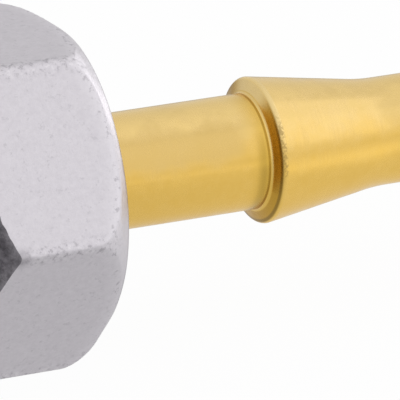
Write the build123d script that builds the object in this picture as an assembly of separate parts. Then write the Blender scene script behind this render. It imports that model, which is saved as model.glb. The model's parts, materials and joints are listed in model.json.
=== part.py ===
from build123d import *
from math import cos, radians, sin, sqrt, tan
import os

# Hose tail with a captive left-hand union nut, for fuel gas.
# A turned brass tail is pushed into the hose. Its head stays inside a hexagon union nut,
# which turns freely on the tail and pulls the ball nose onto the seat of a threaded stub.
# Frame, in millimetres: the origin is on the axis at the nut's mouth, +X runs along the axis
# towards the tip of the tail, and +Z is up. The nut lies on one of its flats.

# Union nut, outside
across_flats = 22.0
nut_length = 20.0
corner_round = 0.5          # rounding along the six corners
tail_chamfer_inset = 0.57   # end face rim inside the flats, tail side
tail_chamfer_angle = 44.0   # degrees from the end face
tail_chamfer_blend = 2.2    # radius where the chamfer runs out over the corners
tail_face_edge = 0.2        # small cut where the chamfer meets the end face
mouth_chamfer_inset = 0.5   # end face rim inside the flats, mouth side
mouth_chamfer_angle = 30.0  # degrees from the end face

# Groove nicked across the nut's corners, the sign of a left-hand thread
groove_floor_height = 0.2   # groove floor above the flats
groove_floor_width = 0.3
groove_flank_angle = 39.0   # degrees from the plane across the axis

# Union nut, inside: G 3/8 left-hand thread, drawn at its minor diameter
thread_major_diameter = 16.66
thread_minor_diameter = 14.95
thread_lead_angle = 30.0    # degrees from the mouth face
relief_step = 0.15          # relief outside the thread's major diameter
back_wall = 4.6             # wall that the head pulls against
back_edge = 0.4             # chamfer on the outer edge of the hole

# Room between nut and tail
barb_pass = 0.15            # barb to the nut's hole, on the radius
neck_clearance = 0.08       # neck to the nut's hole, on the radius
head_pass = 0.35            # head to the thread's minor diameter, on the radius
head_float = 0.1            # head to the back wall, along the axis
nose_room = 0.4             # nose tip to the end of the thread, along the axis

# Head of the tail
head_thickness = 2.2
head_edge = 0.3
nose_ledge = 0.9            # between the head's rim and the ball nose
nose_length = 2.5
nose_lip = 0.5              # flat ring round the gas way at the nose tip
neck_recess = 1.0           # end of the neck, inside the nut's end face
neck_slope = 0.8            # cone from the neck down to the shank

# Barbed end of the tail
gas_way_diameter = 5.0
gas_way_edge = 0.4
shank_diameter = 8.0        # bore of the hose
shank_reach = 13.9          # nut's end face to the first barb
barb_height = 1.1           # barb rim above the shank
barb_count = 2
barb_pitch = 14.0
barb_cone = 8.6             # length of a barb's cone
barb_rim_edge = 0.2         # chamfer on a barb's rim
barb_root = 0.4             # small cone in the foot of a barb's shoulder
barb_blend = 10.0           # radius where a cone runs into the next land
land_drop = 0.27            # land behind a barb, below the shank
tip_land = 2.0
tip_edge = 0.4

# Radii that follow from the sizes above
flat_radius = across_flats / 2
corner_radius = across_flats / sqrt(3)
thread_radius = thread_minor_diameter / 2
thread_major_radius = thread_major_diameter / 2
relief_radius = thread_major_radius + relief_step
shank_radius = shank_diameter / 2
barb_radius = shank_radius + barb_height
land_radius = shank_radius - land_drop
gas_way_radius = gas_way_diameter / 2
hole_radius = barb_radius + barb_pass
neck_radius = hole_radius - neck_clearance
head_radius = thread_radius - head_pass
nose_root_radius = head_radius - nose_ledge
nose_tip_radius = gas_way_radius + gas_way_edge + nose_lip

# Places along the axis that follow from the sizes above
wall_x = nut_length - back_wall
head_back_x = wall_x - head_float
head_front_x = head_back_x - head_thickness
nose_tip_x = head_front_x - nose_length
thread_end_x = nose_tip_x - nose_room
neck_end_x = nut_length - neck_recess
first_barb_x = nut_length + shank_reach
last_barb_x = first_barb_x + (barb_count - 1) * barb_pitch
tip_x = last_barb_x + barb_cone + tip_land


def turned(outline, corners=(), radius=0.0):
    """A solid turned about the X axis from closed lines, with some of its corners rounded."""
    face = make_face(outline)
    for corner in corners:
        vertex = face.vertices().sort_by_distance(Vector(*corner))[0]
        face = fillet(vertex, radius)
    return revolve(face, axis=Axis.X)


def nut_outside():
    """Hexagon bar with rounded corners, turned down to a chamfer at both ends."""
    hexagon = RegularPolygon(flat_radius, 6, major_radius=False)
    bar = extrude(Plane.YZ * fillet(hexagon.vertices(), corner_round), nut_length)
    mouth_rim = flat_radius - mouth_chamfer_inset
    mouth_chamfer = (corner_radius - mouth_rim) * tan(radians(mouth_chamfer_angle))
    tail_rim = flat_radius - tail_chamfer_inset
    slope = radians(tail_chamfer_angle)
    run_out = (nut_length - (corner_radius - tail_rim) * tan(slope), corner_radius)
    envelope = Polyline(
        (0, 0),
        (0, mouth_rim),
        (mouth_chamfer, corner_radius),
        run_out,
        (nut_length - tail_face_edge * sin(slope), tail_rim + tail_face_edge * cos(slope)),
        (nut_length, tail_rim - tail_face_edge),
        (nut_length, 0),
        close=True,
    )
    return bar & turned(envelope, [run_out], tail_chamfer_blend)


def mark_groove():
    """Ring that nicks the nut's corners half-way along."""
    floor = flat_radius + groove_floor_height
    top = corner_radius + groove_floor_height
    half_floor = groove_floor_width / 2
    half_top = half_floor + (top - floor) * tan(radians(groove_flank_angle))
    middle = nut_length / 2
    section = Polyline(
        (middle - half_floor, floor),
        (middle + half_floor, floor),
        (middle + half_top, top),
        (middle - half_top, top),
        close=True,
    )
    return turned(section)


def nut_inside():
    """Stepped hole of the nut: lead-in, thread, relief and the hole in the back wall."""
    lead = (thread_major_radius - thread_radius) * tan(radians(thread_lead_angle))
    relief_slope = relief_radius - thread_radius
    section = Polyline(
        (0, 0),
        (0, thread_major_radius),
        (lead, thread_radius),
        (thread_end_x, thread_radius),
        (thread_end_x + relief_slope, relief_radius),
        (wall_x, relief_radius),
        (wall_x, hole_radius),
        (nut_length - back_edge, hole_radius),
        (nut_length, hole_radius + back_edge),
        (nut_length, 0),
        close=True,
    )
    return turned(section)


def ball_nose():
    """Arc of the nose, from its tip back to the head, on a ball centred on the axis."""
    rise = nose_root_radius**2 - nose_tip_radius**2
    centre_to_root = (rise - nose_length**2) / (2 * nose_length)
    ball_radius = sqrt(centre_to_root**2 + nose_root_radius**2)
    middle_radius = (nose_tip_radius + nose_root_radius) / 2
    centre_x = head_front_x + centre_to_root
    middle_x = centre_x - sqrt(ball_radius**2 - middle_radius**2)
    return ThreePointArc(
        (nose_tip_x, nose_tip_radius),
        (middle_x, middle_radius),
        (head_front_x, nose_root_radius),
    )


def barb_points(number):
    """Points of one barb: the foot of its shoulder, its cut rim and the end of its cone."""
    shoulder_x = first_barb_x + number * barb_pitch
    foot_radius = shank_radius if number == 0 else land_radius
    return [
        (shoulder_x - barb_root, foot_radius),
        (shoulder_x, foot_radius + barb_root),
        (shoulder_x, barb_radius - barb_rim_edge),
        (shoulder_x + barb_rim_edge, barb_radius),
        (shoulder_x + barb_cone, land_radius),
    ]


def make_union_nut():
    return nut_outside() - mark_groove() - nut_inside()


def make_hose_tail():
    barbs = [barb_points(number) for number in range(barb_count)]
    points = [
        (head_front_x, nose_root_radius),
        (head_front_x, head_radius - head_edge),
        (head_front_x + head_edge, head_radius),
        (head_back_x - head_edge, head_radius),
        (head_back_x, head_radius - head_edge),
        (head_back_x, neck_radius),
        (neck_end_x, neck_radius),
        (neck_end_x + neck_slope, shank_radius),
    ]
    for barb in barbs:
        points += barb
    points += [
        (tip_x - tip_edge, land_radius),
        (tip_x, land_radius - tip_edge),
        (tip_x, gas_way_radius),
        (nose_tip_x + gas_way_edge, gas_way_radius),
        (nose_tip_x, gas_way_radius + gas_way_edge),
        (nose_tip_x, nose_tip_radius),
    ]
    cone_ends = [barb[-1] for barb in barbs]
    return turned([Polyline(*points), ball_nose()], cone_ends, barb_blend)


os.makedirs("parts", exist_ok=True)
for name, solid in (("union_nut", make_union_nut()), ("hose_tail", make_hose_tail())):
    solid.label = name
    export_step(solid, f"parts/{name}.step")
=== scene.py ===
import bpy
import json
from math import atan2, cos, pi, radians, sin, sqrt, tan
from mathutils import Matrix, Vector, noise


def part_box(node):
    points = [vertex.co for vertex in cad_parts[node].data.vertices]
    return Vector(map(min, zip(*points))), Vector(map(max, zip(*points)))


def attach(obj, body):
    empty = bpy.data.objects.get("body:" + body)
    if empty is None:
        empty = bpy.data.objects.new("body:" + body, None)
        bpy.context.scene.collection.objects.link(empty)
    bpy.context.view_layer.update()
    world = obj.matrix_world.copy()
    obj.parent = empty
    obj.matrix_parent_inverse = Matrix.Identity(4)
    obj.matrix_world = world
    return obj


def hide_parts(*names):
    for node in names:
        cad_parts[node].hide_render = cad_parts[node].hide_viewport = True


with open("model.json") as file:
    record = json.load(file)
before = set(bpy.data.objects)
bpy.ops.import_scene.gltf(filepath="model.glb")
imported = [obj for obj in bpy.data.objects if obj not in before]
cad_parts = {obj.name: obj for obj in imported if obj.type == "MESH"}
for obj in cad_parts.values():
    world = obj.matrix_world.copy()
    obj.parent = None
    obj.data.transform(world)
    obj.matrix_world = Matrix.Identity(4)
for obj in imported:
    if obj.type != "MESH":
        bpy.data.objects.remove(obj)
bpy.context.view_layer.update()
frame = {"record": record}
MM = 0.001

# Places and sizes that the frame gives, in metres
nut_low, nut_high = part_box("union_nut")
tail_low, tail_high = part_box("hose_tail")
mounts = {mount["name"]: mount for mount in frame["record"]["mounts"]}
nut_length = nut_high.x
nut_end = Vector((nut_length, 0, 0))
flat_radius = nut_high.z
floor_height = nut_low.z
thread_radius = mounts["union_thread"]["dims"]["r_mm"] * MM
gas_way_radius = mounts["gas_way"]["dims"]["r_mm"] * MM
head_radius = tail_high.z
nose_tip_x = tail_low.x
tip_x = tail_high.x

# Union nut, outside
flats = 6
half_flat = pi / flats
corner_round = 0.5 * MM
corner_centre = (flat_radius - corner_round) / cos(half_flat)
corner_tip = corner_centre + corner_round
tail_rim = flat_radius - 0.57 * MM
tail_chamfer_slope = radians(41)
tail_chamfer_blend = 2.8 * MM
mouth_rim = flat_radius - 0.5 * MM
mouth_chamfer_slope = radians(30)
face_edge = 0.2 * MM
outside_from = tail_rim - face_edge / 2

# Wear along the nut's edges, from handling
wear_width = 0.8 * MM
wear_depth = wear_width / 4
wear_fade = 1.6 * MM
corner_wear = radians(3.5)
nick_depth = 0.09 * MM
nick_coarse = 0.9 * MM
nick_fine = 0.35 * MM

# Groove across the nut's corners
groove_x = nut_length / 2
groove_floor = flat_radius + 0.2 * MM
groove_half_floor = 0.15 * MM
groove_flank = radians(39)
groove_rough = 0.07 * MM
groove_grain = 0.6 * MM
groove_seed = 4
sharp_corner = flat_radius * 2 / sqrt(3)
groove_tool_top = sharp_corner + 1.0 * MM

# Union nut, inside: left-hand pipe thread, relief and the hole for the neck
thread_depth = 0.855 * MM
thread_pitch = 1.337 * MM
thread_flank = radians(27.5)
thread_root_width = 0.24 * MM
thread_lead_slope = radians(30)
thread_end_x = nose_tip_x - 0.4 * MM
major_radius = thread_radius + thread_depth
relief_radius = major_radius + 0.15 * MM
wall_x = nut_length - 4.6 * MM
hole_radius = 5.25 * MM
hole_edge = 0.4 * MM
thread_tool_start = -1.5 * MM
thread_tool_turns = 10
thread_tool_foot = thread_radius - 0.1 * MM
thread_tool_back = thread_tool_foot - 0.3 * MM

# Hose tail
head_thickness = 2.2 * MM
head_back_x = wall_x - 0.1 * MM
head_front_x = head_back_x - head_thickness
head_edge = 0.3 * MM
nose_root_radius = head_radius - 0.9 * MM
gas_way_edge = 0.4 * MM
nose_tip_radius = gas_way_radius + gas_way_edge + 0.5 * MM
neck_radius = hole_radius - 0.08 * MM
neck_end_x = nut_length - 1.0 * MM
neck_slope = 0.8 * MM
shank_radius = 4.0 * MM
land_radius = shank_radius - 0.27 * MM
barb_radius = shank_radius + 1.1 * MM
barb_pitch = 14.0 * MM
barb_cone = 8.6 * MM
barb_lean = 0.35 * MM
barb_root_round = 0.18 * MM
barb_rim_round = 0.3 * MM
barb_blend = 10.0 * MM
tip_land = 2.0 * MM
tip_edge = 0.4 * MM
turned_edge = 0.12 * MM
root_round = 0.4 * MM
last_barb_x = tip_x - tip_land - barb_cone
barb_places = (last_barb_x - barb_pitch, last_barb_x)

# Marks on the plating: where each starts and ends, with its softness where it has one
scuffed_corner = (flat_radius + 1.2 * MM, flat_radius + 1.55 * MM)
groove_smear = (2.3 * MM, 1.4 * MM)
chamfer_line = nut_length + tail_rim * tan(tail_chamfer_slope)
# Painted light on the chamfer, paler towards its end
chamfer_light_reach = (chamfer_line - 1.4 * MM, chamfer_line - 0.1 * MM)
dented_chamfer = (chamfer_line - 0.7 * MM, chamfer_line - 0.05 * MM, 0.2 * MM)
end_line = (nut_length - 0.34 * MM, nut_length - 0.2 * MM)
end_rim = (tail_rim - 0.1 * MM, tail_rim)

# Marks on a barb along the axis, counted from its rim, in the same way
before_rim = (0.0, -0.1 * MM)
# Painted golden reflection and painted shade before each rim, and painted shade in the root
gold_reflection_reach = (-2.4 * MM, -barb_lean)
shaded_foot_reach = (-barb_lean - 1.3 * MM, -barb_lean, 0.7 * MM)
root_line = (-barb_lean - 0.34 * MM, -barb_lean - 0.1 * MM, 0.08 * MM)
# Painted highlight in the root
root_glint = (-barb_lean - 0.12 * MM, -barb_lean + 0.06 * MM, 0.04 * MM)
shoulder_reach = (-0.4 * MM, 0.1 * MM, 0.05 * MM)
rim_reach = (-0.2 * MM, 0.4 * MM, 0.15 * MM)

# Marks on a barb's shoulder by their radius, in the same way
# The face gets painted shade and reflection, and a painted highlight on its upper side; the outer ring gets
# painted shade
face_ring = (shank_radius + 0.12 * MM, barb_radius - 0.1 * MM, 0.12 * MM)
outer_ring = (barb_radius - 0.42 * MM, barb_radius - 0.06 * MM, 0.12 * MM)
# The rim gets a painted highlight on its upper side, and nicks
rim_ring = (barb_radius - 0.2 * MM, barb_radius - 0.08 * MM)

# The painted dark reflection band on the shank ends before the first barb
streak_end = (barb_places[0] - 1.5 * MM, barb_places[0] - 3 * MM)

# Colours of the plating; a pair is the darker and the paler part of a grain
zinc_grain = ((0.645, 0.615, 0.655, 1), (0.725, 0.695, 0.735, 1))
zinc_speck = (0.46, 0.44, 0.47, 1)
zinc_scuff = (0.36, 0.34, 0.37, 1)
zinc_rubbed = (0.88, 0.85, 0.88, 1)
# Painted light on the chamfer
zinc_chamfer_light = (0.85, 0.82, 0.86, 1)
zinc_rim = (0.45, 0.43, 0.46, 1)
# Painted shade in the groove
groove_shade_greys = ((0.17, 0.16, 0.175, 1), (0.42, 0.40, 0.43, 1))

# Colours of the brass
# Side, underside, sheen and top colours: lit and shaded copies of one brass, painted light by side
brass_side = ((0.79, 0.51, 0.115, 1), (0.83, 0.545, 0.14, 1))
brass_below = ((0.93, 0.60, 0.135, 1), (0.97, 0.64, 0.16, 1))
brass_sheen_above = ((0.83, 0.595, 0.225, 1), (0.88, 0.635, 0.26, 1))
brass_top_highlight = (0.95, 0.69, 0.27, 1)
# A painted dark reflection band on the upper side of the shank
brass_reflected_band = (0.71, 0.49, 0.165, 1)
# Painted reflection and shade at the barbs' feet, faces, outer edges and roots
brass_reflected_gold = (0.76, 0.47, 0.06, 1)
brass_foot_shade = (0.5, 0.32, 0.06, 1)
brass_face_shade = (0.55, 0.31, 0.035, 1)
brass_edge_shade = (0.27, 0.165, 0.03, 1)
brass_root_shade = (0.42, 0.24, 0.03, 1)
# Painted highlight on the rims, roots and faces
brass_shoulder_highlight = (0.94, 0.73, 0.36, 1)
brass_nick = (0.36, 0.24, 0.08, 1)

# Colours of the room
white = (1, 1, 1, 1)
floor_paint = (0.86, 0.86, 0.86, 1)
floor_far_back = (0.55, 0.55, 0.55, 1)
room_behind = (0.75, 0.75, 0.75, 1)
room_in_front = (0.93, 0.93, 0.93, 1)

# What metal mirrors of the floor: its levels, and the places between which they change
level_by_nut = 0.69
level_by_tail = 0.77
gain_past_tip = 0.23
along_part = (20 * MM, 46 * MM)
past_tip = (48 * MM, 64 * MM)
behind_part = (40 * MM, 70 * MM)
off_to_side = (0.6, 0.9)

# The side of the room that is brighter, and between which shares of it the light changes
brighter_side = Vector((0.3, -0.7, 0.6))
brighter_share = (-0.2, 0.8)

# How finely round shapes are divided, and how near two places count as one
NUT_STEPS = 360
NUT_ROW = 0.2 * MM
NUT_CROWDING = 0.75
TAIL_STEPS = 256
THREAD_STEPS = 60
ARC_SEGMENTS = 6
SMOOTH_ANGLE = radians(32)
SAME_PLACE = MM * 1e-3
MERGE_DISTANCE = MM * 1e-4


# Modelling by hand


def deselect_all():
    """Nothing is selected, so that the next operator acts on its own piece alone."""
    if bpy.context.mode != "OBJECT":
        bpy.ops.object.mode_set(mode="OBJECT")
    bpy.ops.object.select_all(action="DESELECT")


def select_only(piece):
    """The piece alone is selected and active."""
    deselect_all()
    piece.select_set(True)
    bpy.context.view_layer.objects.active = piece


def name_piece(name):
    """The piece that was just added gets its name."""
    piece = bpy.context.object
    piece.name = name
    piece.data.name = name
    return piece


def pick_vertices(piece, test):
    """In edit mode, selects only the vertices whose place passes the test."""
    bpy.ops.mesh.select_mode(type="VERT")
    bpy.ops.mesh.select_all(action="DESELECT")
    bpy.ops.object.mode_set(mode="OBJECT")
    for vertex in piece.data.vertices:
        vertex.select = test(vertex.co)
    bpy.ops.object.mode_set(mode="EDIT")


def pick_edges(piece, test):
    """In edit mode, selects only the edges whose two ends pass the test."""
    bpy.ops.mesh.select_mode(type="EDGE")
    bpy.ops.mesh.select_all(action="DESELECT")
    bpy.ops.object.mode_set(mode="OBJECT")
    places = [vertex.co for vertex in piece.data.vertices]
    for edge in piece.data.edges:
        edge.select = test(places[edge.vertices[0]], places[edge.vertices[1]])
    bpy.ops.object.mode_set(mode="EDIT")


def clean_mesh():
    """In edit mode, merges doubles and turns the faces outwards."""
    bpy.ops.mesh.select_all(action="SELECT")
    bpy.ops.mesh.remove_doubles(threshold=MERGE_DISTANCE)
    bpy.ops.mesh.normals_make_consistent(inside=False)
    bpy.ops.object.mode_set(mode="OBJECT")


def rounding_setback(before, corner, after):
    """How far from a corner its rounding starts."""
    x, radius, rounding = corner
    here = Vector((x, radius))
    between = (Vector(before[:2]) - here).angle(Vector(after[:2]) - here)
    return rounding / tan(between / 2)


def draw_section(name, corners):
    """A closed section in the plane of the axis, in edit mode; a corner is (x, radius[, rounding])."""
    deselect_all()
    bpy.ops.mesh.primitive_plane_add(size=MM)
    section = name_piece(name)
    bpy.ops.object.mode_set(mode="EDIT")
    bpy.ops.mesh.select_mode(type="VERT")
    bpy.ops.mesh.select_all(action="SELECT")
    bpy.ops.mesh.merge(type="CENTER")
    places = [Vector((corner[0], 0, corner[1])) for corner in corners]
    bpy.ops.transform.translate(value=places[0])
    for here, there in zip(places, places[1:]):
        bpy.ops.mesh.extrude_vertices_move(TRANSFORM_OT_translate={"value": there - here})
    ends = (places[0], places[-1])
    pick_vertices(section, lambda place: any((place - end).length < SAME_PLACE for end in ends))
    bpy.ops.mesh.edge_face_add()
    for number, corner in enumerate(corners):
        if len(corner) == 3:
            after = corners[(number + 1) % len(corners)]
            setback = rounding_setback(corners[number - 1], corner, after)
            pick_vertices(section, lambda place: (place - places[number]).length < SAME_PLACE)
            bpy.ops.mesh.bevel(offset=setback, segments=ARC_SEGMENTS, affect="VERTICES")
    return section


def divide_edges(piece, test, longest):
    """In edit mode, divides each edge whose two ends pass the test into runs of about this length."""
    bpy.ops.object.mode_set(mode="OBJECT")
    places = [vertex.co.copy() for vertex in piece.data.vertices]
    edges = [tuple(edge.vertices) for edge in piece.data.edges]
    bpy.ops.object.mode_set(mode="EDIT")
    for start, end in edges:
        cuts = int((places[start] - places[end]).length / longest)
        if cuts and test(places[start]) and test(places[end]):
            middle = (places[start] + places[end]) / 2
            pick_edges(piece, lambda one, other: ((one + other) / 2 - middle).length < SAME_PLACE)
            bpy.ops.mesh.subdivide(number_cuts=cuts)


def spin_section(section, steps):
    """Turns a drawn section about the X axis into a closed piece."""
    bpy.ops.mesh.select_all(action="SELECT")
    bpy.ops.mesh.spin(steps=steps, angle=2 * pi, center=(0, 0, 0), axis=(1, 0, 0))
    clean_mesh()
    return section


def turn_on_lathe(name, corners, steps):
    """A solid of revolution about the X axis."""
    return spin_section(draw_section(name, corners), steps)


def apply_modifier(piece, kind, **settings):
    """Adds one modifier with its settings and applies it."""
    select_only(piece)
    modifier = piece.modifiers.new(kind.lower(), kind)
    for name, value in settings.items():
        setattr(modifier, name, value)
    bpy.ops.object.modifier_apply(modifier=modifier.name)


def machine(piece, tool, **settings):
    """Cuts a tool's shape out of the piece and takes the tool away."""
    apply_modifier(piece, "BOOLEAN", object=tool, operation="DIFFERENCE", solver="EXACT", **settings)
    bpy.data.objects.remove(tool)


def roughen(piece, depth, grain, seed):
    """Moves the vertices by a noise of this depth and grain, which its seed keeps the same in each run."""
    noise.seed_set(seed)
    for vertex in piece.data.vertices:
        vertex.co += noise.noise_vector(vertex.co / grain) * depth


def smooth_surface(piece):
    """Soft shading over roundings, with the large faces kept true."""
    select_only(piece)
    bpy.ops.object.shade_smooth_by_angle(angle=SMOOTH_ANGLE)
    apply_modifier(piece, "WEIGHTED_NORMAL", keep_sharp=True)


# Union nut


def nut_blank():
    """The nut before its flats are milled: chamfers outside, the stepped hole inside."""
    mouth_chamfer = (corner_tip - mouth_rim) * tan(mouth_chamfer_slope)
    tail_chamfer = (corner_tip - tail_rim) * tan(tail_chamfer_slope)
    outer_edge_x = nut_length - face_edge * sin(tail_chamfer_slope)
    corners = [
        (0, major_radius),
        (0, mouth_rim),
        (mouth_chamfer, corner_tip),
        (nut_length - tail_chamfer, corner_tip, tail_chamfer_blend),
        (outer_edge_x, tail_rim + face_edge * cos(tail_chamfer_slope)),
        (nut_length, tail_rim - face_edge),
        (nut_length, hole_radius + hole_edge),
        (nut_length - hole_edge, hole_radius),
        (wall_x, hole_radius),
        (wall_x, relief_radius),
        (thread_end_x + relief_radius - thread_radius, relief_radius),
        (thread_end_x, thread_radius),
        (thread_depth * tan(thread_lead_slope), thread_radius),
    ]
    section = draw_section("plated_union_nut", corners)
    divide_edges(section, lambda place: place.z > outside_from, NUT_ROW)
    return spin_section(section, NUT_STEPS)


def hexagon_radius(off_flat):
    """From the axis to the hexagon's side, at an angle off the middle of a flat; corners rounded."""
    off_corner = half_flat - off_flat
    round_end = atan2(corner_round * sin(half_flat), corner_centre + corner_round * cos(half_flat))
    if off_corner > round_end:
        return flat_radius / cos(off_flat)
    return corner_centre * cos(off_corner) + sqrt(corner_round**2 - (corner_centre * sin(off_corner))**2)


def nick(place, edge_share):
    """Depth of the small dents that handling leaves along an edge."""
    fine_share = 0.6
    untouched = 0.15
    unevenness = noise.noise(place / nick_coarse) + fine_share * noise.noise(place / nick_fine)
    return nick_depth * edge_share * max(0.0, unevenness - untouched)


def mill_hexagon(nut):
    """Mills the six flats, with worn edges; the facets crowd together towards the corners."""
    for vertex in nut.data.vertices:
        x, y, z = vertex.co
        radius = sqrt(y * y + z * z)
        angle = atan2(y, z)
        angle += NUT_CROWDING * sin(flats * angle) / flats
        if radius > outside_from:
            off_flat = abs((angle + half_flat) % (2 * half_flat) - half_flat)
            side = hexagon_radius(off_flat)
            turned_down = min(1.0, max(0.0, corner_tip - radius) / wear_fade)
            nearness = turned_down * max(0.0, 1 - abs(radius - side) / wear_width)
            cornering = max(0.0, 1 - (half_flat - off_flat) / corner_wear)
            radius = min(radius, side) - nearness**2 * wear_depth
            place = Vector((x, radius * sin(angle), radius * cos(angle)))
            radius -= nick(place, max(nearness, cornering))
        vertex.co = (x, radius * sin(angle), radius * cos(angle))


def groove_tool():
    """Ring that nicks the corners half-way along, the mark of a left-hand thread."""
    half_top = groove_half_floor + (groove_tool_top - groove_floor) * tan(groove_flank)
    corners = [
        (groove_x - groove_half_floor, groove_floor),
        (groove_x + groove_half_floor, groove_floor),
        (groove_x + half_top, groove_tool_top),
        (groove_x - half_top, groove_tool_top),
    ]
    tool = turn_on_lathe("groove_tool", corners, NUT_STEPS)
    roughen(tool, groove_rough, groove_grain, groove_seed)
    return tool


def threading_tool():
    """One thread form wound left-handed from outside the mouth into the relief."""
    half_root = thread_root_width / 2
    half_foot = half_root + (major_radius - thread_tool_foot) * tan(thread_flank)
    corners = [
        (thread_tool_start - half_foot, thread_tool_back),
        (thread_tool_start - half_foot, thread_tool_foot),
        (thread_tool_start - half_root, major_radius),
        (thread_tool_start + half_root, major_radius),
        (thread_tool_start + half_foot, thread_tool_foot),
        (thread_tool_start + half_foot, thread_tool_back),
    ]
    tool = draw_section("threading_tool", corners)
    apply_modifier(
        tool, "SCREW", axis="X", angle=-2 * pi, screw_offset=thread_pitch, iterations=thread_tool_turns,
        steps=THREAD_STEPS, render_steps=THREAD_STEPS, use_smooth_shade=False,
    )
    bpy.ops.object.mode_set(mode="EDIT")
    bpy.ops.mesh.select_all(action="SELECT")
    bpy.ops.mesh.fill_holes(sides=len(corners))
    clean_mesh()
    return tool


def make_union_nut(plating, groove_shading):
    """The nut, made in a turner's order: blank, flats, groove and thread."""
    nut = nut_blank()
    mill_hexagon(nut)
    nut.data.materials.append(plating)
    groove = groove_tool()
    groove.data.materials.append(groove_shading)
    machine(nut, groove, material_mode="TRANSFER")
    machine(nut, threading_tool())
    smooth_surface(nut)
    return nut


# Hose tail


def ball_nose_corner():
    """Where the tangents at both ends of the ball nose meet, and the ball's radius."""
    length = head_front_x - nose_tip_x
    rise = nose_root_radius**2 - nose_tip_radius**2
    centre_to_root = (rise - length**2) / (2 * length)
    ball = sqrt(centre_to_root**2 + nose_root_radius**2)
    centre_x = head_front_x + centre_to_root
    tip = Vector((nose_tip_x - centre_x, nose_tip_radius))
    root = Vector((head_front_x - centre_x, nose_root_radius))
    corner = (tip + root) * ball**2 / (ball**2 + tip.dot(root))
    return corner.x + centre_x, corner.y, ball


def barb_corners(shoulder_x, foot_radius):
    """One barb: the foot of its leaning shoulder, its rim and the end of its cone."""
    return [
        (shoulder_x - barb_lean, foot_radius, barb_root_round),
        (shoulder_x, barb_radius, barb_rim_round),
        (shoulder_x + barb_cone, land_radius, barb_blend),
    ]


def make_hose_tail(brass):
    """The tail, turned from bar in one piece."""
    corners = [
        (nose_tip_x + gas_way_edge, gas_way_radius),
        (nose_tip_x, gas_way_radius + gas_way_edge),
        (nose_tip_x, nose_tip_radius),
        ball_nose_corner(),
        (head_front_x, nose_root_radius),
        (head_front_x, head_radius - head_edge, turned_edge),
        (head_front_x + head_edge, head_radius, turned_edge),
        (head_back_x - head_edge, head_radius, turned_edge),
        (head_back_x, head_radius - head_edge, turned_edge),
        (head_back_x, neck_radius),
        (neck_end_x, neck_radius, turned_edge),
        (neck_end_x + neck_slope, shank_radius, root_round),
    ]
    corners += barb_corners(barb_places[0], shank_radius)
    corners += barb_corners(barb_places[1], land_radius)
    corners += [
        (tip_x - tip_edge, land_radius, turned_edge),
        (tip_x, land_radius - tip_edge, turned_edge),
        (tip_x, gas_way_radius, turned_edge),
    ]
    tail = turn_on_lathe("turned_hose_tail", corners, TAIL_STEPS)
    tail.data.materials.append(brass)
    smooth_surface(tail)
    return tail


# Shader nodes


def add_node(tree, kind, values=None, **settings):
    """One node with its settings; an input's value is a plain value or another node's output."""
    node = tree.nodes.new(kind)
    for name, value in settings.items():
        setattr(node, name, value)
    for name, value in (values or {}).items():
        if isinstance(value, bpy.types.NodeSocket):
            tree.links.new(value, node.inputs[name])
        else:
            node.inputs[name].default_value = value
    return node


def work_out(tree, operation, *values):
    """One step of arithmetic on values or outputs."""
    return add_node(tree, "ShaderNodeMath", dict(enumerate(values)), operation=operation).outputs[0]


def times(tree, first, second):
    """The product of two values or outputs."""
    return work_out(tree, "MULTIPLY", first, second)


def remap(tree, value, low, high, to_low=0.0, to_high=1.0):
    """Carries a range softly over to another one."""
    values = {"Value": value, "From Min": low, "From Max": high, "To Min": to_low, "To Max": to_high}
    return add_node(tree, "ShaderNodeMapRange", values, interpolation_type="SMOOTHSTEP").outputs[0]


def within(tree, value, low, high, soft):
    """One between two limits and zero outside them, with soft ends."""
    return times(tree, remap(tree, value, low, low + soft), remap(tree, value, high, high - soft))


def blend_colours(tree, factor, first, second):
    """Between two colours, which are the Mix node's inputs 6 and 7."""
    values = {0: factor, 6: first, 7: second}
    return add_node(tree, "ShaderNodeMix", values, data_type="RGBA", clamp_factor=True).outputs[2]


def grains(tree, place, scale, detail=3.0, roughness=0.6):
    """A noise over the surface, about 0.3 to 0.7."""
    values = {"Vector": place, "Scale": scale, "Detail": detail, "Roughness": roughness}
    return add_node(tree, "ShaderNodeTexNoise", values).outputs["Fac"]


def radius_from_axis(tree, place):
    """X along the axis, and the distance from it."""
    split = add_node(tree, "ShaderNodeSeparateXYZ", {"Vector": place})
    across = add_node(tree, "ShaderNodeCombineXYZ", {"Y": split.outputs["Y"], "Z": split.outputs["Z"]})
    length = add_node(tree, "ShaderNodeVectorMath", {0: across.outputs[0]}, operation="LENGTH")
    return split.outputs["X"], length.outputs["Value"]


def new_group(name, inputs, outputs):
    """An empty node group with its sockets; inputs and outputs map names to socket kinds."""
    tree = bpy.data.node_groups.new(name, "ShaderNodeTree")
    for title, kind in inputs.items():
        tree.interface.new_socket(title, in_out="INPUT", socket_type=kind)
    for title, kind in outputs.items():
        tree.interface.new_socket(title, in_out="OUTPUT", socket_type=kind)
    return tree, tree.nodes.new("NodeGroupInput").outputs, tree.nodes.new("NodeGroupOutput").inputs


def turning_marks_group():
    """Fine rings that a turning tool leaves, broken up a little round the axis."""
    tree, given, made = new_group(
        "turning_marks",
        {"Place": "NodeSocketVector", "Marks": "NodeSocketFloat"},
        {"Height": "NodeSocketFloat"},
    )
    along, radius = radius_from_axis(tree, given["Place"])
    run = times(tree, work_out(tree, "ADD", along, radius), given["Marks"])
    rings = add_node(
        tree, "ShaderNodeTexNoise", {"W": run, "Scale": 1.0, "Detail": 3.0, "Roughness": 0.65},
        noise_dimensions="1D",
    )
    patches = grains(tree, given["Place"], scale=900.0, detail=2.0, roughness=0.5)
    strength = remap(tree, patches, 0.35, 0.65, 0.35, 1.0)
    tree.links.new(times(tree, rings.outputs["Fac"], strength), made["Height"])
    return tree


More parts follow.
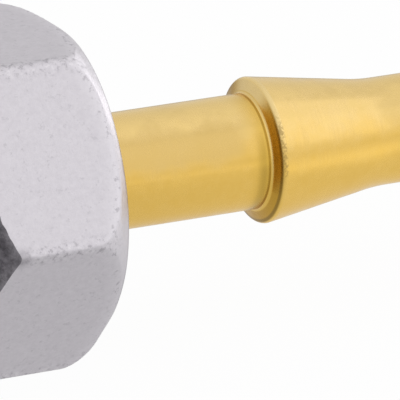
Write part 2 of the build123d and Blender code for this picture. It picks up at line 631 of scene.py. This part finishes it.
def mottle_group():
    """Cloudy variation with a fine grain, and small sparse pits."""
    tree, given, made = new_group(
        "mottle",
        {"Place": "NodeSocketVector", "Grain": "NodeSocketFloat"},
        {"Shade": "NodeSocketFloat", "Pits": "NodeSocketFloat"},
    )
    cloud = grains(tree, given["Place"], scale=given["Grain"], detail=6.0, roughness=0.7)
    pits_to_grain = 3.0
    cell_scale = times(tree, given["Grain"], pits_to_grain)
    cells = add_node(tree, "ShaderNodeTexVoronoi", {"Vector": given["Place"], "Scale": cell_scale})
    tree.links.new(remap(tree, cloud, 0.3, 0.7), made["Shade"])
    tree.links.new(remap(tree, cells.outputs["Distance"], 0.05, 0.3), made["Pits"])
    return tree


def place_group(tree, group, values):
    """One use of a node group."""
    return add_node(tree, "ShaderNodeGroup", values, node_tree=group).outputs


def new_metal(name):
    """A metal's material, with its nodes, its shader and the place on the piece."""
    material = bpy.data.materials.new(name)
    material.use_nodes = True
    tree = material.node_tree
    shader = tree.nodes["Principled BSDF"]
    shader.inputs["Metallic"].default_value = 1.0
    place = add_node(tree, "ShaderNodeTexCoord").outputs["Object"]
    return material, tree, shader, place


def feed_shader(tree, shader, colour, roughness, height, strength, depth):
    """Gives the shader its colour, its roughness and a bump of this strength and depth."""
    bump = add_node(tree, "ShaderNodeBump", {"Strength": strength, "Distance": depth, "Height": height})
    tree.links.new(colour, shader.inputs["Base Color"])
    tree.links.new(roughness, shader.inputs["Roughness"])
    tree.links.new(bump.outputs["Normal"], shader.inputs["Normal"])


# Finish of the nut, with painted light on its chamfer and painted shade in its groove


def grain_plating(tree, place, shade):
    """Pale grey plating with a fine grain and darker specks."""
    plain = blend_colours(tree, shade, *zinc_grain)
    spots = grains(tree, place, scale=2300.0, detail=4.0, roughness=0.75)
    return blend_colours(tree, remap(tree, spots, 0.43, 0.33, to_high=0.4), plain, zinc_speck)


def scuff_corners(tree, colour, along, radius, scuffs):
    """Dark and bright scuffs along the hexagon's corners, smeared beside the groove."""
    corner = remap(tree, radius, *scuffed_corner)
    dark = times(tree, corner, remap(tree, scuffs, 0.52, 0.62, to_high=0.6))
    bright = times(tree, corner, remap(tree, scuffs, 0.45, 0.36, to_high=0.4))
    from_groove = work_out(tree, "ABSOLUTE", work_out(tree, "SUBTRACT", along, groove_x))
    smear = times(tree, corner, remap(tree, from_groove, *groove_smear, to_high=0.6))
    scuffed = blend_colours(tree, dark, colour, zinc_scuff)
    rubbed = blend_colours(tree, bright, scuffed, zinc_rubbed)
    return blend_colours(tree, smear, rubbed, zinc_scuff)


def light_and_dent_chamfer(tree, colour, along, radius, scuffs):
    """Painted light, lighter towards the end of the chamfer, with small dents and a dark line round its
    rim.
    """
    up_cone = work_out(tree, "ADD", along, times(tree, radius, tan(tail_chamfer_slope)))
    # Painted light: the chamfer lighter towards its end
    turned = remap(tree, up_cone, *chamfer_light_reach, to_high=0.35)
    dented = within(tree, up_cone, *dented_chamfer)
    dents = times(tree, dented, remap(tree, scuffs, 0.54, 0.64, to_high=0.5))
    line = times(tree, remap(tree, along, *end_line, to_high=0.5), remap(tree, radius, *end_rim))
    chamfer_lit = blend_colours(tree, turned, colour, zinc_chamfer_light)
    knocked = blend_colours(tree, dents, chamfer_lit, zinc_scuff)
    return blend_colours(tree, line, knocked, zinc_rim)


def plated_steel(mottle, marks):
    """Matt zinc plating: pale grey with a faint violet cast, finely grained, scuffed at the corners, with
    painted light on the chamfer.
    """
    material, tree, shader, place = new_metal("plated_steel")
    grain = place_group(tree, mottle, {"Place": place, "Grain": 2600.0})
    rings = place_group(tree, marks, {"Place": place, "Marks": 5000.0})
    along, radius = radius_from_axis(tree, place)
    scuffs = grains(tree, place, scale=2400.0, detail=4.0, roughness=0.7)
    grained = grain_plating(tree, place, grain["Shade"])
    scuffed = scuff_corners(tree, grained, along, radius, scuffs)
    # Painted light on the chamfer, with its dents and rim line
    colour = light_and_dent_chamfer(tree, scuffed, along, radius, scuffs)
    roughness = remap(tree, grain["Shade"], 0.0, 1.0, 0.36, 0.46)
    cloud_share = 0.7
    ring_share = 0.2
    relief = work_out(tree, "ADD", grain["Pits"], times(tree, grain["Shade"], cloud_share))
    height = work_out(tree, "ADD", relief, times(tree, rings["Height"], ring_share))
    feed_shader(tree, shader, colour, roughness, height, strength=0.35, depth=0.02 * MM)
    return material


def groove_shade_steel(mottle):
    """The groove's flanks, painted dark: painted shade in the notch."""
    material, tree, shader, place = new_metal("groove_shade_steel")
    shade = place_group(tree, mottle, {"Place": place, "Grain": 1300.0})["Shade"]
    # Painted shade: the groove painted dark
    colour = blend_colours(tree, shade, *groove_shade_greys)
    roughness = remap(tree, shade, 0.0, 1.0, 0.5, 0.62)
    feed_shader(tree, shader, colour, roughness, shade, strength=0.4, depth=0.04 * MM)
    return material


# Finish of the tail, with light and shade painted into its colour by side and at the shoulders; upward is 1
# along its top, 0 along its sides and -1 underneath


def paint_brass_by_side(tree, place, along, upward, shade):
    """Brass painted paler and lighter on its upper side and brighter and more saturated underneath, as
    painted light by side, with a painted dark reflection band along the upper side of the shank.
    """
    unevenness = 0.7
    streak_unevenness = 0.3
    streak_strength = 0.75
    clouds = work_out(tree, "SUBTRACT", grains(tree, place, scale=350.0), 0.5)
    uneven = times(tree, clouds, unevenness)
    height = work_out(tree, "ADD", upward, uneven)
    # Lit and shaded copies of the brass, painted light by side
    side = blend_colours(tree, shade, *brass_side)
    underside = blend_colours(tree, shade, *brass_below)
    sheened = blend_colours(tree, shade, *brass_sheen_above)
    sides_and_under = blend_colours(tree, remap(tree, upward, 0.22, 0.0), side, underside)
    lit_above = blend_colours(tree, remap(tree, height, 0.1, 0.8), sides_and_under, sheened)
    highlighted_above = blend_colours(tree, remap(tree, height, 0.8, 1.0, to_high=0.8), lit_above, brass_top_highlight)
    wavy = work_out(tree, "ADD", upward, times(tree, uneven, streak_unevenness))
    # A painted dark reflection band along the shank's upper side
    streak = times(tree, remap(tree, along, *streak_end), within(tree, wavy, 0.2, 0.88, 0.2))
    return blend_colours(tree, times(tree, streak, streak_strength), highlighted_above, brass_reflected_band)


def shoulder_masks(tree, along, radius):
    """The parts of the barbs' shoulders: each is one where it lies and zero elsewhere."""
    from_first = work_out(tree, "SUBTRACT", along, barb_places[0])
    from_rim = work_out(tree, "WRAP", from_first, barb_pitch / 2, -barb_pitch / 2)
    on_shoulder = within(tree, from_rim, *shoulder_reach)
    return {
        "foot": times(tree, remap(tree, from_rim, *before_rim), remap(tree, from_rim, *gold_reflection_reach)),
        "shaded foot": within(tree, from_rim, *shaded_foot_reach),
        "root": within(tree, from_rim, *root_line),
        "glint": within(tree, from_rim, *root_glint),
        "face": times(tree, within(tree, radius, *face_ring), on_shoulder),
        "outer line": times(tree, within(tree, radius, *outer_ring), on_shoulder),
        "rim": times(tree, remap(tree, radius, *rim_ring), within(tree, from_rim, *rim_reach)),
    }


def paint_shoulder_shade_and_reflection(tree, colour, masks, upward):
    """Painted light and shade at each shoulder: a painted golden reflection and painted shade at each foot,
    painted shade and reflection on the face, and painted dark shade lines round the face and in its root.
    """
    foot_strength = 0.7
    root_strength = 0.75
    # Painted shade at the foot, on the face, round it and in the root, and a painted golden reflection at
    # the foot
    foot_shading = times(tree, masks["shaded foot"], remap(tree, upward, 0.8, 0.3, to_high=0.6))
    face_shading = times(tree, masks["face"], remap(tree, upward, 0.7, 0.97, 0.85, 0.15))
    edge_shading = times(tree, masks["outer line"], remap(tree, upward, 0.9, 0.5, to_high=0.75))
    foot_reflected = blend_colours(tree, times(tree, masks["foot"], foot_strength), colour, brass_reflected_gold)
    foot_shaded = blend_colours(tree, foot_shading, foot_reflected, brass_foot_shade)
    shoulders_shaded = blend_colours(tree, face_shading, foot_shaded, brass_face_shade)
    edge_shaded = blend_colours(tree, edge_shading, shoulders_shaded, brass_edge_shade)
    return blend_colours(tree, times(tree, masks["root"], root_strength), edge_shaded, brass_root_shade)


def paint_shoulder_highlights(tree, colour, masks, upward):
    """Painted highlights on the upper side of each rim, root and face."""
    rim = times(tree, masks["rim"], remap(tree, upward, 0.2, 0.8, 0.05, 0.6))
    root = times(tree, masks["glint"], remap(tree, upward, -0.4, 0.4, 0.1, 0.45))
    face = times(tree, masks["face"], remap(tree, upward, 0.8, 0.98, to_high=0.7))
    shine = work_out(tree, "MAXIMUM", face, work_out(tree, "MAXIMUM", rim, root))
    return blend_colours(tree, shine, colour, brass_shoulder_highlight)


def nick_rims(tree, colour, place, rim, upward):
    """Fine dark nicks along the barbs' rims, mostly on their sides."""
    handled = within(tree, upward, -0.2, 0.85, 0.35)
    spots = grains(tree, place, scale=4200.0, detail=4.0, roughness=0.7)
    nicks = times(tree, handled, remap(tree, spots, 0.45, 0.57, to_high=0.65))
    return blend_colours(tree, times(tree, rim, nicks), colour, brass_nick)


def turned_brass(mottle, marks):
    """Satin brass with fine tool marks, light and shade painted by side, painted reflections, shade and
    highlights at the shoulders, and nicked rims.
    """
    material, tree, shader, place = new_metal("turned_brass")
    shade = place_group(tree, mottle, {"Place": place, "Grain": 900.0})["Shade"]
    rings = place_group(tree, marks, {"Place": place, "Marks": 4500.0})["Height"]
    along, radius = radius_from_axis(tree, place)
    height = add_node(tree, "ShaderNodeSeparateXYZ", {"Vector": place}).outputs["Z"]
    upward = work_out(tree, "DIVIDE", height, radius)
    masks = shoulder_masks(tree, along, radius)
    # Light and shade painted by side
    sheened = paint_brass_by_side(tree, place, along, upward, shade)
    # Painted reflection and shade at the shoulders
    shoulders_shaded = paint_shoulder_shade_and_reflection(tree, sheened, masks, upward)
    # Painted highlights at the shoulders
    shoulders_highlighted = paint_shoulder_highlights(tree, shoulders_shaded, masks, upward)
    colour = nick_rims(tree, shoulders_highlighted, place, masks["rim"], upward)
    roughness = remap(tree, rings, 0.1, 0.7, 0.2, 0.32)
    feed_shader(tree, shader, colour, roughness, rings, strength=0.3, depth=0.006 * MM)
    return material


# Studio


def plain_share(tree, for_camera):
    """How much of the floor's plain colour a ray sees: this much straight, and all of it mirrored."""
    path = add_node(tree, "ShaderNodeLightPath").outputs
    direct = times(tree, path["Is Camera Ray"], for_camera)
    mirrored = work_out(tree, "MAXIMUM", path["Is Glossy Ray"], path["Is Transmission Ray"])
    return work_out(tree, "MAXIMUM", direct, mirrored)


def mirrored_floor(tree):
    """The floor as metal mirrors it: shaded round the part and far behind it, white past its tip."""
    place = add_node(tree, "ShaderNodeTexCoord").outputs["Object"]
    split = add_node(tree, "ShaderNodeSeparateXYZ", {"Vector": place}).outputs
    by_part = remap(tree, split["X"], *along_part, level_by_nut, level_by_tail)
    gain = remap(tree, split["X"], *past_tip, to_high=gain_past_tip)
    level = work_out(tree, "ADD", by_part, gain)
    sideways = work_out(tree, "DIVIDE", split["Y"], split["X"])
    far_back = times(tree, remap(tree, split["Y"], *behind_part), remap(tree, sideways, *off_to_side))
    return blend_colours(tree, far_back, level, floor_far_back)


def make_floor():
    """A wide white floor that keeps a soft shadow."""
    side = 8.0
    deselect_all()
    bpy.ops.mesh.primitive_plane_add(size=side, location=(0, 0, floor_height))
    floor = name_piece("floor")
    bpy.ops.object.transform_apply(location=True, rotation=True, scale=True)
    material = bpy.data.materials.new("white_floor")
    material.use_nodes = True
    tree = material.node_tree
    tree.nodes.clear()
    path = add_node(tree, "ShaderNodeLightPath").outputs
    colour = blend_colours(tree, path["Is Camera Ray"], mirrored_floor(tree), white)
    lit = add_node(tree, "ShaderNodeBsdfDiffuse", {"Color": floor_paint})
    plain = add_node(tree, "ShaderNodeEmission", {"Color": colour, "Strength": 1.0})
    shaders = {0: plain_share(tree, for_camera=0.96), 1: lit.outputs[0], 2: plain.outputs[0]}
    mix = add_node(tree, "ShaderNodeMixShader", shaders)
    add_node(tree, "ShaderNodeOutputMaterial", {"Surface": mix.outputs[0]})
    floor.data.materials.append(material)


def make_surroundings():
    """A white room: plain white to the camera; as light, brighter above and in front than behind."""
    world = bpy.data.worlds.new("white_room")
    bpy.context.scene.world = world
    world.use_nodes = True
    tree = world.node_tree
    tree.nodes.clear()
    direction = add_node(tree, "ShaderNodeTexCoord").outputs["Generated"]
    key = add_node(tree, "ShaderNodeVectorMath", {0: direction, 1: brighter_side}, operation="DOT_PRODUCT")
    facing = remap(tree, key.outputs["Value"], *brighter_share)
    room = blend_colours(tree, facing, room_behind, room_in_front)
    path = add_node(tree, "ShaderNodeLightPath").outputs
    colour = blend_colours(tree, path["Is Camera Ray"], room, white)
    background = add_node(tree, "ShaderNodeBackground", {"Color": colour, "Strength": 1.0})
    add_node(tree, "ShaderNodeOutputWorld", {"Surface": background.outputs[0]})


def softbox(name, direction, distance, along, around, watts):
    """A soft lamp that points at the nut's end, with its sides along the object's axis and around it."""
    lamp = bpy.data.objects.new(name, bpy.data.lights.new(name, "AREA"))
    bpy.context.scene.collection.objects.link(lamp)
    lamp.data.shape = "RECTANGLE"
    lamp.data.size = around
    lamp.data.size_y = along
    lamp.data.energy = watts
    towards = Vector(direction).normalized()
    across = Vector((1, 0, 0)).cross(towards).normalized()
    lamp.location = nut_end + towards * distance
    lamp.rotation_mode = "QUATERNION"
    lamp.rotation_quaternion = Matrix((across, towards.cross(across), towards)).transposed().to_quaternion()
    lamp.visible_camera = False


def make_camera():
    """The photograph's view: from the left and above, with the nut nearer."""
    azimuth = radians(-23.86)
    elevation = radians(20.43)
    distance = 0.4
    focal_pixels = 5939.0
    image_pixels = 400
    nut_end_pixel = (65.84, 179.03)
    back = Vector((sin(azimuth) * cos(elevation), -cos(azimuth) * cos(elevation), sin(elevation)))
    right = Vector((cos(azimuth), sin(azimuth), 0))
    up = back.cross(right)
    turned_right = (image_pixels / 2 - nut_end_pixel[0]) / focal_pixels
    turned_down = (image_pixels / 2 - nut_end_pixel[1]) / focal_pixels
    forward = -back + right * turned_right - up * turned_down
    turn = (-back).rotation_difference(forward)
    camera = bpy.data.objects.new("camera", bpy.data.cameras.new("camera"))
    bpy.context.scene.collection.objects.link(camera)
    camera.data.sensor_width = 36.0
    camera.data.lens = camera.data.sensor_width * focal_pixels / image_pixels
    camera.location = nut_end + back * distance
    camera.rotation_mode = "QUATERNION"
    camera.rotation_quaternion = turn @ Matrix((right, up, back)).transposed().to_quaternion()
    bpy.context.scene.camera = camera


# The fitting in its studio


def dress(piece, node, body):
    """The piece takes a CAD node's place on its body, and the CAD node is hidden."""
    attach(piece, body)
    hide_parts(node)


mottle = mottle_group()
turning_marks = turning_marks_group()

union_nut = make_union_nut(plated_steel(mottle, turning_marks), groove_shade_steel(mottle))
dress(union_nut, "union_nut", "nut")

hose_tail = make_hose_tail(turned_brass(mottle, turning_marks))
dress(hose_tail, "hose_tail", "tail")

make_floor()
make_surroundings()
softbox("front_softbox", (0.38, -0.73, 0.57), distance=0.6, along=0.6, around=0.6, watts=0.1)
softbox("cone_softbox", (0.76, -0.3, 0.58), distance=0.6, along=0.22, around=0.7, watts=0.1)
softbox("chamfer_softbox", (0.95, 0.32, 0.08), distance=0.16, along=0.09, around=0.13, watts=0.03)
make_camera()
bpy.context.scene.view_settings.view_transform = "Standard"
